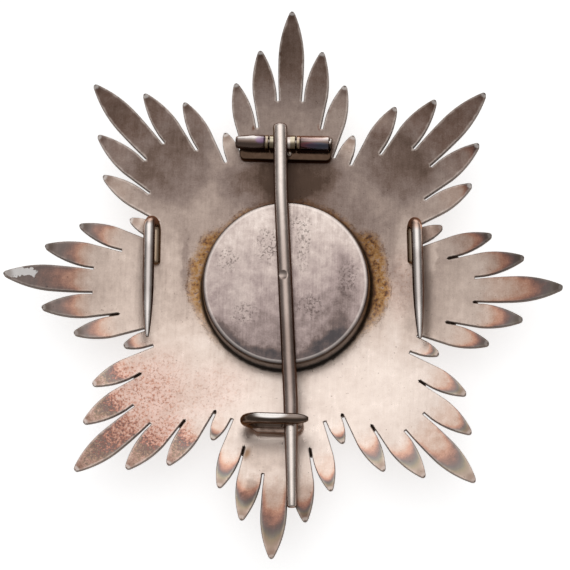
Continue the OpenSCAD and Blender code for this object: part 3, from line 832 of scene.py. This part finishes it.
# Clusters of pits, a painted highlight on the raised rim, the wall painted dark brown, and painted shade
# darkening it down to the solder
clusters = greatest([
    spot(wandering, centre, size, 0, 0.5)
    for centre, size in (
        ((3, 6.5), (1, 4)),
        ((-2.6, 5.8), (1.6, 2.6)),
        ((10, 1), (1.4, 2.6)),
        ((4.4, -3.6), (2, 1.8)),
        ((-5.6, -5), (2, 1.6)),
        ((-8.6, 3.4), (1.6, 1.6)),
        ((1.6, 9.6), (1, 1)),
    )
])
pitted = times(step(noise(place, 2.6, 4, 0.7), 0.04, 0.1), clusters)
colour = coated(colour, pitted, 0.5, (0.09, 0.06, 0.05))
out = from_cover(place)
# Painted highlight along the rounded shoulder of the rim
shoulder_highlight = times(step(out, 11.95, 12.1), step(out, 12.52, 12.4))
colour = coated(colour, shoulder_highlight, 0.3, (1, 0.9, 0.84))
colour = coated(colour, step(out, 12.42, 12.62), 0.92, (0.13, 0.085, 0.058))
# Painted shade on the lower wall
shaded = step(part_along(place, "Z"), 7.2, 5.8)
colour = blend(shaded, colour, (0.012, 0.008, 0.006, 1))
feed(colour, "Base Color")
rough = sum_of(sum_of(strokes, blotches, 1.0), pitted, 1.5)
feed(rescaled(rough, -0.5, 0.5, 0.2, 0.42), "Roughness")
emboss(sum_of(sum_of(strokes, grain, 0.5), pitted, -1.6), 0.3)
surface.inputs["Metallic"].default_value = 1
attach(cover, "star")
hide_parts("back_cover")


# Hinge. A flat strip of silver with two drawn tubes soldered along it, each with a
# turned collar at its inner end. The left tube tapers to a closed round end; a bead
# of solder has run out beside the pin.
hinge_y = 22 * mm
axis_z = 8.98765 * mm
base_left, base_right = -7.45 * mm, 6.65 * mm
base_ahead_l, base_behind_l = 2.35 * mm, 1.1 * mm
base_top_z = back_z(hinge_y) + 1.7 * mm
base_floor_z = 5.5 * mm
base_corner_r, base_edge_r = 0.8 * mm, 0.14 * mm
bead_size = (0.42 * mm, 0.62 * mm, 0.4 * mm)
# Outlines of radius and place along the hinge axis, in millimetres. Both tubes start with a collar
# and the groove beyond it, whose places are distances outward from the tube's inner end.
collar = [
    (0.63, 0), (1.12, 0), (1.18, 0.05), (1.2, 0.13), (1.2, 0.45), (1.16, 0.51), (1.1, 0.6), (1.16, 0.69),
    (1.2, 0.75),
]
left_start, right_start = -2.95, 1.35
left_tube = [(r, left_start - outward) for r, outward in collar] + [
    (1.2, -5.3), (1.17, -5.8), (1.1, -6.5), (0.97, -7.6), (0.9, -7.85), (0.78, -7.99), (0.55, -8.04),
    (0, -8.05), (0, -7.3), (0.63, -7.3), (0.63, left_start),
]
right_tube = [(r, right_start + outward) for r, outward in collar] + [
    (1.2, 6.15), (1.17, 6.28), (1.05, 6.35), (0.63, 6.35), (0.63, right_start),
]


def on_axis(name, outline, steps=64):
    """A turned piece that lies along the hinge axis."""
    piece = turned(name, [(r * mm, x * mm) for r, x in outline], steps)
    piece.rotation_euler.y = math.pi / 2
    piece.location = (0, hinge_y, axis_z)
    apply_all(piece)
    return piece


def strip(name, low, high):
    """A flat bar between two corners."""
    deselect()
    middle = [(first + last) / 2 for first, last in zip(low, high)]
    size = [last - first for first, last in zip(low, high)]
    bpy.ops.mesh.primitive_cube_add(size=1, location=middle, scale=size)
    bpy.ops.object.transform_apply(location=True, scale=True)
    piece = bpy.context.object
    piece.name = name
    return piece


def cut_across(piece, step_l):
    """Cuts a bar across at even steps, so that it can follow the dish of the plate."""
    edit(piece)
    left = min(v.co.x for v in piece.data.vertices)
    right = max(v.co.x for v in piece.data.vertices)
    x = left + step_l
    while x < right - 0.5 * step_l:
        take_all()
        bpy.ops.mesh.bisect(plane_co=(x, 0, 0), plane_no=(1, 0, 0))
        x += step_l
    done()


def upright(edge):
    return abs(edge.verts[0].co.z - edge.verts[1].co.z) > mm


def round_edges(piece, width):
    bevel = piece.modifiers.new("Soft edge", "BEVEL")
    bevel.width = width
    bevel.segments = 3
    bevel.angle_limit = math.radians(30)
    apply_all(piece)


base = strip(
    "hinge_strip",
    (base_left, hinge_y - base_ahead_l, base_floor_z),
    (base_right, hinge_y + base_behind_l, base_top_z),
)
edit(base)
pick("EDGE", upright)
bpy.ops.mesh.bevel(offset=base_corner_r, segments=6)
done()
cut_across(base, 1.5 * mm)
seat(base, base_floor_z)
round_edges(base, base_edge_r)
deselect()
bpy.ops.mesh.primitive_ico_sphere_add(
    subdivisions=4, radius=1, location=(0.25 * mm, hinge_y - 1.25 * mm, base_top_z + 0.1 * mm),
    scale=bead_size,
)
bead = bpy.context.object
apply_all(bead)
hinge = join([base, on_axis("left_tube", left_tube), on_axis("right_tube", right_tube), bead], "hinge_set")
soften(hinge)


def toward(direction, side):
    """How squarely a direction points to a side: 1 when straight at it."""
    return node("VectorMath", {0: direction, 1: side}, operation="DOT_PRODUCT").outputs["Value"]


def worn_silver_with_painted_light(dark, middle, bright, low=0.2, high=0.95, rubbed_and_lit=(0, 0, 1)):
    """Silver that is dark with toning, painted bright as a highlight and as wear where its surface faces
    the lit, rubbed side, and painted dark as shade where it turns away.
    """
    place = in_millimetres()
    patches = noise(place, 0.7, 4, 0.6)
    # Painted light: the colour runs from painted shade to a painted highlight by how squarely the surface
    # faces the lit side
    facing = toward(node("TexCoord").outputs["Normal"], rubbed_and_lit)
    facing = sum_of(facing, patches, 0.3 * (high - low))
    colour = ramp(facing, [(low, dark), (0.4 * low + 0.6 * high, middle), (high, bright)])
    specks = step(noise(place, 3.4, 3, 0.6), 0.17, 0.23)
    colour = coated(colour, specks, 0.4, (0.12, 0.08, 0.06))
    fine = noise(place, 6, 3, 0.6)
    rough = rescaled(sum_of(patches, fine, 0.6), -0.4, 0.4, 0.12, 0.3)
    feed(rough, "Roughness")
    emboss(sum_of(fine, specks, -1.2), 0.07)
    surface.inputs["Specular Tint"].default_value = (0.5, 0.38, 0.32, 1)
    surface.inputs["Metallic"].default_value = 1
    return place, facing, colour


tree, surface = new_material("brazed_hinge", hinge)
# Painted highlight on the upper flank of the tubes, which faces the light, and painted shade below it
place, facing, colour = worn_silver_with_painted_light(
    (0.16, 0.11, 0.09), (0.34, 0.27, 0.24), (0.93, 0.87, 0.84), 0.8, 1, (0, 0.56, 0.828)
)
# Oxide colours: golden collars, purple by the left one, red and blue under the right tube
# Painted light on the golden collars: lighter where they face the light, darker away from it
gilt_with_painted_light = ramp(facing, [(0.1, (0.2, 0.135, 0.07)), (0.95, (0.66, 0.54, 0.37))])
for centre, size, share, dye in (
    ((-3.2, 22), (0.27, 2), 0.8, gilt_with_painted_light),
    ((1.6, 22), (0.27, 2), 0.8, gilt_with_painted_light),
    ((-4.1, 22.2), (0.8, 0.6), 0.45, (0.3, 0.17, 0.38)),
    ((3.6, 22.9), (2.6, 0.4), 0.6, (0.5, 0.22, 0.12)),
    ((3.4, 22.4), (2.4, 0.3), 0.4, (0.75, 0.5, 0.5)),
    ((3.2, 21.5), (1.4, 0.4), 0.6, (0.3, 0.07, 0.1)),
    ((4.7, 21.4), (1.9, 0.5), 0.65, (0.07, 0.1, 0.16)),
    ((0.25, 20.7), (0.6, 0.9), 0.8, (0.7, 0.58, 0.48)),
):
    colour = coated(colour, spot(place, centre, size), share, dye)
# The strip below the tubes is painted a dark mottled brown
mottle = plus(noise(place, 0.9, 4), 0.5)
strip_tone = ramp(mottle, [(0.25, (0.07, 0.042, 0.027)), (0.75, (0.13, 0.08, 0.054))])
on_strip = step(part_along(place, "Z"), 8.1, 7.96)
colour = blend(on_strip, colour, strip_tone)
feed(colour, "Base Color")
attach(hinge, "star")
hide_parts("hinge")


# Hinge rod. Drawn wire through both tubes and the pin's barrel. Its right end is
# riveted over into a low cap; its left end is blind inside the closed tube.
rod = on_axis("rivet_rod", [
    (0, -7.25), (0.6, -7.25), (0.6, 6.5), (0.92, 6.5), (1, 6.55), (1, 6.68), (0.94, 6.76), (0.8, 6.82),
    (0.5, 6.848), (0, 6.85),
], 48)
soften(rod)
tree, surface = new_material("riveted_wire", rod)
# Painted highlight where the rod faces the light, painted shade below
*_, colour = worn_silver_with_painted_light(
    (0.1, 0.07, 0.055), (0.25, 0.19, 0.16), (0.8, 0.72, 0.66), 0.7, 0.97, (0, 0.42, 0.908)
)
feed(colour, "Base Color")
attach(rod, "star")
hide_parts("hinge_rod")


# Pin. A long round stem brazed on a short barrel, which turns on the rod. The stem has
# two slight bends from use, tapers to a blunt end and has one small punched dimple.
stem_start = Vector((-1.05 * mm, hinge_y, 10.8877 * mm))
stem_r = 1.1 * mm
stem_tip_r = 0.75 * mm
tail_l = 2.55 * mm
tail_round = 0.6 * mm
stem_l = 56.75 * mm
taper_l = 15.5 * mm
tip_round = 0.35 * mm
droop = math.radians(1.2)
# Distance along the stem at which each straight starts, and its lean to the right
stem_runs = [(-tail_l, 2.9), (8.5 * mm, 4.7), (40.5 * mm, 2.8)]
dimple_at, dimple_r, dimple_depth = 21.3 * mm, 0.72 * mm, 0.3 * mm
dimple_turn = math.radians(12)


def stem_route(s):
    """Place on the middle line of the stem, and the directions across and above it."""
    point = stem_start.copy()
    ends = [start for start, lean in stem_runs[1:]] + [stem_l]
    for (start, lean), end in zip(stem_runs, ends):
        lean = math.radians(lean)
        ahead = Vector((math.sin(lean), -math.cos(lean), 0)) * math.cos(droop)
        ahead.z = -math.sin(droop)
        first = start if start > 0 else 0
        run = min(s, end) - first
        if run > 0 or start < 0:
            point += ahead * run
            side = Vector((math.cos(lean), math.sin(lean), 0))
            above = ahead.cross(side)
    return point, side, above


def lead_along(piece, route):
    """Bends a straight turned piece, which lies along Z, onto a route."""
    for v in piece.data.vertices:
        point, side, above = route(v.co.z)
        v.co = point + side * v.co.x + above * v.co.y
    piece.data.update()


def rounding(r, at, size, way):
    """Outline of a rounded end of radius r that finishes at a place: way 1 onward, -1 back."""
    turns = [math.pi / 2 * k / 5 for k in range(6)]
    arc = [(r - size * (1 - math.cos(t)), at - way * size * (1 - math.sin(t))) for t in turns]
    return [(0, at)] + arc[::-1] if way < 0 else arc + [(0, at)]


def stem_r_at(s):
    return stem_r - (stem_r - stem_tip_r) * max(0, s - stem_l + taper_l) / taper_l


# Rings of points a millimetre apart along the stem, and close ones across the dimple
near_dimple = [dimple_at + k * 0.08 * mm for k in range(-12, 13)]
spaced = [k * mm for k in range(-1, 56) if abs(k * mm - dimple_at) > 1.1 * mm]
outline = rounding(stem_r, -tail_l, tail_round, -1)
outline += [(stem_r_at(s), s) for s in sorted(spaced + near_dimple)]
outline += rounding(stem_tip_r, stem_l, tip_round, 1)
stem = turned("stem", outline, 64)
for v in stem.data.vertices:
    around = math.atan2(v.co.x, v.co.y) + dimple_turn
    off = math.hypot(v.co.z - dimple_at, stem_r * around)
    if off < dimple_r:
        sunk = dimple_depth * (1 - (off / dimple_r) ** 2) ** 0.8
        v.co.x *= 1 - sunk / stem_r
        v.co.y *= 1 - sunk / stem_r
lead_along(stem, stem_route)
barrel = on_axis("barrel", [
    (0.65, -2.8), (1.1, -2.8), (1.17, -2.76), (1.2, -2.68), (1.2, 1.08), (1.17, 1.16), (1.1, 1.2),
    (0.65, 1.2), (0.65, -2.8),
])
pin = join([stem, barrel], "pin_stem")
soften(pin)
tree, surface = new_material("worn_pin_with_painted_light", pin)
# Painted highlight along the top of the stem, painted shade down its sides
place, _, colour = worn_silver_with_painted_light((0.2, 0.135, 0.105), (0.4, 0.31, 0.27), (0.95, 0.84, 0.77), 0.2, 1)
along = part_along(place, "Y")
dulled = times(step(along, 18, 2), step(along, -21.8, -21.2))
colour = coated(colour, dulled, 0.85, (0.5, 0.44, 0.42), "MULTIPLY")
low_part = times(step(along, -4, -8), step(along, -20, -14))
colour = coated(colour, low_part, 0.6, (0.6, 0.55, 0.54), "MULTIPLY")
# The barrel, both sides of the stem, has the golden solder colour of the collars, painted lighter as a
# highlight where it faces the light and darker as shade away from it
beside = without_sign(plus(part_along(place, "X"), 0.8))
on_barrel = times(step(beside, 1.15, 1.3), step(along, 20, 20.4))
gilt_with_painted_light = ramp(toward(node("TexCoord").outputs["Normal"], (0, 0.42, 0.908)), [
    (0.3, (0.14, 0.095, 0.05)),
    (0.8, (0.3, 0.23, 0.14)),
    (0.98, (0.8, 0.7, 0.52)),
])
colour = coated(colour, on_barrel, 0.9, gilt_with_painted_light)
feed(colour, "Base Color")
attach(pin, "pin")
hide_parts("pin")


# Catch. One silver wire bent into a C over the stem. Its lower end is hammered out
# into a flat foot, soldered down; its free end is filed to a short point.
catch_y = -21.45 * mm
catch_r = 0.825 * mm
bar_z = 11.9104 * mm
foot_wire_z = 6.926 * mm
catch_bend_r = (bar_z - foot_wire_z) / 2
catch_bend_x = -2.233 * mm
bar_end_x = 4.9 * mm
bar_end_l = 1.7 * mm
bar_end_r = 0.45 * catch_r
foot_wire_l = 2.6 * mm
foot_right_x = 3.9 * mm
foot_w = 2.8 * mm
foot_neck_w, foot_neck_l = 1 * mm, 1.4 * mm
foot_top_z = 7.40134 * mm
foot_floor_z = 5.2 * mm
foot_edge_r = 0.16 * mm
bar_l = bar_end_x - catch_bend_x
half_turn_l = math.pi * catch_bend_r


def catch_route(s):
    """From the free end of the bar to the left, round the bend and back over the foot."""
    if s < bar_l:
        point, turn = Vector((bar_end_x - s, catch_y, bar_z)), 0
    elif s < bar_l + half_turn_l:
        turn = (s - bar_l) / catch_bend_r
        point = Vector((
            catch_bend_x - catch_bend_r * math.sin(turn), catch_y,
            bar_z - catch_bend_r * (1 - math.cos(turn)),
        ))
    else:
        turn = math.pi
        point = Vector((catch_bend_x + s - bar_l - half_turn_l, catch_y, foot_wire_z))
    above = Vector((-math.sin(turn), 0, math.cos(turn)))
    return point, Vector((0, 1, 0)), above


outline = [(0, 0), (0.7 * bar_end_r, 0.02 * mm), (bar_end_r, 0.14 * mm)]
outline += [(bar_end_r + (catch_r - bar_end_r) * t**0.8, bar_end_l * t) for t in (0.25, 0.5, 0.75, 0.92)]
outline += [(catch_r, s * mm) for s in (1.9, 3.5, 5.2)]
outline += [(catch_r, bar_l + half_turn_l * k / 20) for k in range(21)]
outline += rounding(catch_r, bar_l + half_turn_l + foot_wire_l + catch_r, 0.8 * catch_r, 1)
catch_wire = turned("catch_wire", outline, 48)
lead_along(catch_wire, catch_route)
foot = strip(
    "catch_foot",
    (catch_bend_x - catch_r, catch_y - foot_w / 2, foot_floor_z),
    (foot_right_x, catch_y + foot_w / 2, foot_top_z),
)
edit(foot)
pick("EDGE", lambda e: upright(e) and e.verts[0].co.x > 0)
bpy.ops.mesh.bevel(offset=0.49 * foot_w, segments=8)
pick("FACE", lambda f: f.normal.x < -0.9)
draw_out(x=-foot_neck_l)
bpy.ops.transform.resize(
    value=(1, foot_neck_w / foot_w, 1), center_override=(0, catch_y, foot_top_z)
)
done()
cut_across(foot, 1.2 * mm)
seat(foot, foot_floor_z)
round_edges(foot, foot_edge_r)
catch = join([catch_wire, foot], "catch_loop")
soften(catch)
tree, surface = new_material("smoked_catch_with_painted_light", catch)
# Painted highlight on the upper flank of the wire, which faces the light, painted shade elsewhere
place, _, colour = worn_silver_with_painted_light(
    (0.12, 0.082, 0.062), (0.17, 0.125, 0.1), (0.3, 0.24, 0.21), 0.75, 0.97, (0, 0.45, 0.893)
)
# Worn bright along the top of the bar, with a painted highlight there, and paler on the foot than on the
# wire
level = part_along(place, "Z")
rub_and_sheen = times(spot(place, (-0.85, -21.05), (2.3, 0.55), 0, 0.3), step(level, 11.5, 12))
colour = coated(colour, rub_and_sheen, 0.95, (0.93, 0.88, 0.84))
mottle = plus(noise(place, 0.9, 4), 0.5)
foot_tone = ramp(mottle, [(0.3, (0.2, 0.135, 0.105)), (0.7, (0.42, 0.305, 0.25))])
colour = blend(step(level, 7.9, 7.3), colour, foot_tone)
feed(colour, "Base Color")
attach(catch, "star")
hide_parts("catch")


# Side hooks. Each is one silver wire: a short leg soldered to the plate, a half turn
# and a long prong that lies over the leg and tapers to a round point.
hook_r = 0.875 * mm
hook_waist_r, hook_tip_r = 0.87 * mm, 0.3 * mm
prong_l, prong_taper_l = 17.1 * mm, 9.6 * mm
hook_belly = 2.2
hook_rise, hook_out = 2.5 * mm, 0.7 * mm
hook_bend_r = math.hypot(hook_rise, hook_out) / 2
hook_sink = 0.15 * mm


def prong_r(s):
    share = max(0, s - prong_l + prong_taper_l) / (prong_taper_l - hook_tip_r)
    full = hook_r + (hook_waist_r - hook_r) * min(1, s / (prong_l - prong_taper_l))
    return hook_tip_r + (full - hook_tip_r) * (1 - min(1, share) ** hook_belly)


def side_hook(name, leg_x, leg_l, bend_y, side, turn):
    """A hook on the left, side -1, or the right, turned by some degrees about its leg's end."""
    leg_z = back_z(math.hypot(leg_x, bend_y - leg_l / 2)) + hook_r - hook_sink
    bend_at = leg_l + hook_r
    prong_at = bend_at + math.pi * hook_bend_r
    toward_prong = Vector((side * hook_out, 0, hook_rise)).normalized()
    swing = Matrix.Rotation(math.radians(turn), 3, "Z")

    def route(s):
        if s < bend_at:
            local, angle = Vector((0, s - bend_at, 0)), 0
        elif s < prong_at:
            angle = (s - bend_at) / hook_bend_r
            local = toward_prong * hook_bend_r * (1 - math.cos(angle))
            local = local + Vector((0, hook_bend_r * math.sin(angle), 0))
        else:
            local, angle = toward_prong * 2 * hook_bend_r - Vector((0, s - prong_at, 0)), math.pi
        ahead = Vector((0, math.cos(angle), 0)) + toward_prong * math.sin(angle)
        across = Vector((0, 1, 0)).cross(toward_prong)
        place = Vector((side * leg_x, bend_y, leg_z))
        return place + swing @ local, swing @ across, swing @ ahead.cross(across)

    ring = rounding(hook_r, 0, 0.35 * mm, -1)
    ring += [(hook_r, bend_at * k / 3) for k in (1, 2, 3)]
    ring += [(hook_r, bend_at + math.pi * hook_bend_r * k / 18) for k in range(1, 19)]
    ring += [(prong_r(prong_l * k / 34), prong_at + prong_l * k / 34) for k in range(1, 34)]
    ring += rounding(hook_tip_r, prong_at + prong_l, hook_tip_r, 1)[1:]
    hook = turned(name, ring, 48)
    lead_along(hook, route)
    for v in hook.data.vertices:
        v.co.z = max(v.co.z, back_z(math.hypot(v.co.x, v.co.y)) + solder_gap)
    soften(hook)
    return hook


hooks = {
    "left_hook": side_hook("hook_left", 20 * mm, 4.2 * mm, 8.1 * mm, -1, 1.6),
    "right_hook": side_hook("hook_right", 19.45 * mm, 3.8 * mm, 8.8 * mm, 1, 3.4),
}
tree, surface = new_material("hook_wire", *hooks.values())
# Painted highlight along the top of the wire, painted shade down its sides
place, _, colour = worn_silver_with_painted_light((0.22, 0.155, 0.12), (0.42, 0.33, 0.29), (0.9, 0.83, 0.79), 0.25, 0.97)
# Dull half way down the prong, coppery at the bend and brown on the leg
along = part_along(place, "Y")
dulled = times(step(along, 6.4, 4.6), step(along, -4.5, -1.5))
colour = coated(colour, dulled, 0.55, (0.5, 0.46, 0.45), "MULTIPLY")
colour = coated(colour, step(along, 8.4, 9.3), 0.7, (0.62, 0.36, 0.25))
on_leg = step(part_along(place, "Z"), 8.3, 7.6)
colour = coated(colour, on_leg, 0.85, (0.42, 0.29, 0.18))
feed(colour, "Base Color")
for name, hook in hooks.items():
    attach(hook, "star")
    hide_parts(name)


# Table top, light and camera. A pale table, lit from below a little as well, a
# large soft box above and behind the star, and the camera of the photograph.
deselect()
bpy.ops.mesh.primitive_plane_add(size=6)
table = bpy.context.object
table.name = "table_top"
tree, surface = new_material("pale_table", table)
surface.inputs["Base Color"].default_value = (0.86, 0.86, 0.86, 1)
surface.inputs["Roughness"].default_value = 0.9
surface.inputs["Emission Color"].default_value = (1, 1, 1, 1)
surface.inputs["Emission Strength"].default_value = 0.64

world = bpy.data.worlds.new("studio")
bpy.context.scene.world = world
world.use_nodes = True
tree = world.node_tree
background = tree.nodes["Background"]
direction = node("TexCoord").outputs["Generated"]
glow = ramp(toward(direction, (0, 0.423, 0.906)), [
    (nearness, (grey, grey, grey))
    for nearness, grey in ((0, 0.32), (0.4, 0.26), (0.7, 0.36), (0.82, 0.66), (0.91, 0.95), (0.98, 1.12))
])
behind = part_along(direction, "Y")
glow = sum_of(glow, step(behind, 0.8, 0.97), 0.9)
seen = node("LightPath").outputs["Is Camera Ray"]
strength = node("Mix", {"Factor": seen, "A": glow, "B": 0.9}).outputs["Result"]
tree.links.new(strength, background.inputs["Strength"])
background.inputs["Color"].default_value = (1, 1, 1, 1)

camera = bpy.data.objects.new("camera", bpy.data.cameras.new("camera"))
bpy.context.collection.objects.link(camera)
bpy.context.scene.camera = camera
# Tilt and roll in radians, and the pixels of the photograph at which the middle of the star
# lies and that a long ray takes up
aim = Vector((0, 0, 11.1 * mm))
camera_distance = 538.3 * mm
tilt_x, tilt_y, roll = 0.06486, -0.22415, 0.03916
frame_px = 570
middle_px_x, middle_px_y = 281.598, 279.871
long_ray_px = 280.556
tilt = math.hypot(tilt_x, tilt_y)
away = Vector((math.sin(tilt) * tilt_x / tilt, math.sin(tilt) * tilt_y / tilt, math.cos(tilt)))
right = Vector((0, 1, 0)).cross(away).normalized()
up = away.cross(right)
rolled_right = right * math.cos(roll) + up * math.sin(roll)
rolled_up = up * math.cos(roll) - right * math.sin(roll)
camera.matrix_world = Matrix((
    (rolled_right.x, rolled_up.x, away.x, 0),
    (rolled_right.y, rolled_up.y, away.y, 0),
    (rolled_right.z, rolled_up.z, away.z, 0),
    (0, 0, 0, 1),
))
camera.location = aim + away * camera_distance
camera.data.sensor_width = 36
focal_px = long_ray_px / rays["long"][0] * camera_distance
camera.data.lens = camera.data.sensor_width * focal_px / frame_px
camera.data.shift_x = (frame_px / 2 - middle_px_x) / frame_px
camera.data.shift_y = (middle_px_y - frame_px / 2) / frame_px
camera.data.clip_start, camera.data.clip_end = 0.05, 20
view = bpy.context.scene.view_settings
view.view_transform = "Standard"
view.look = "None"
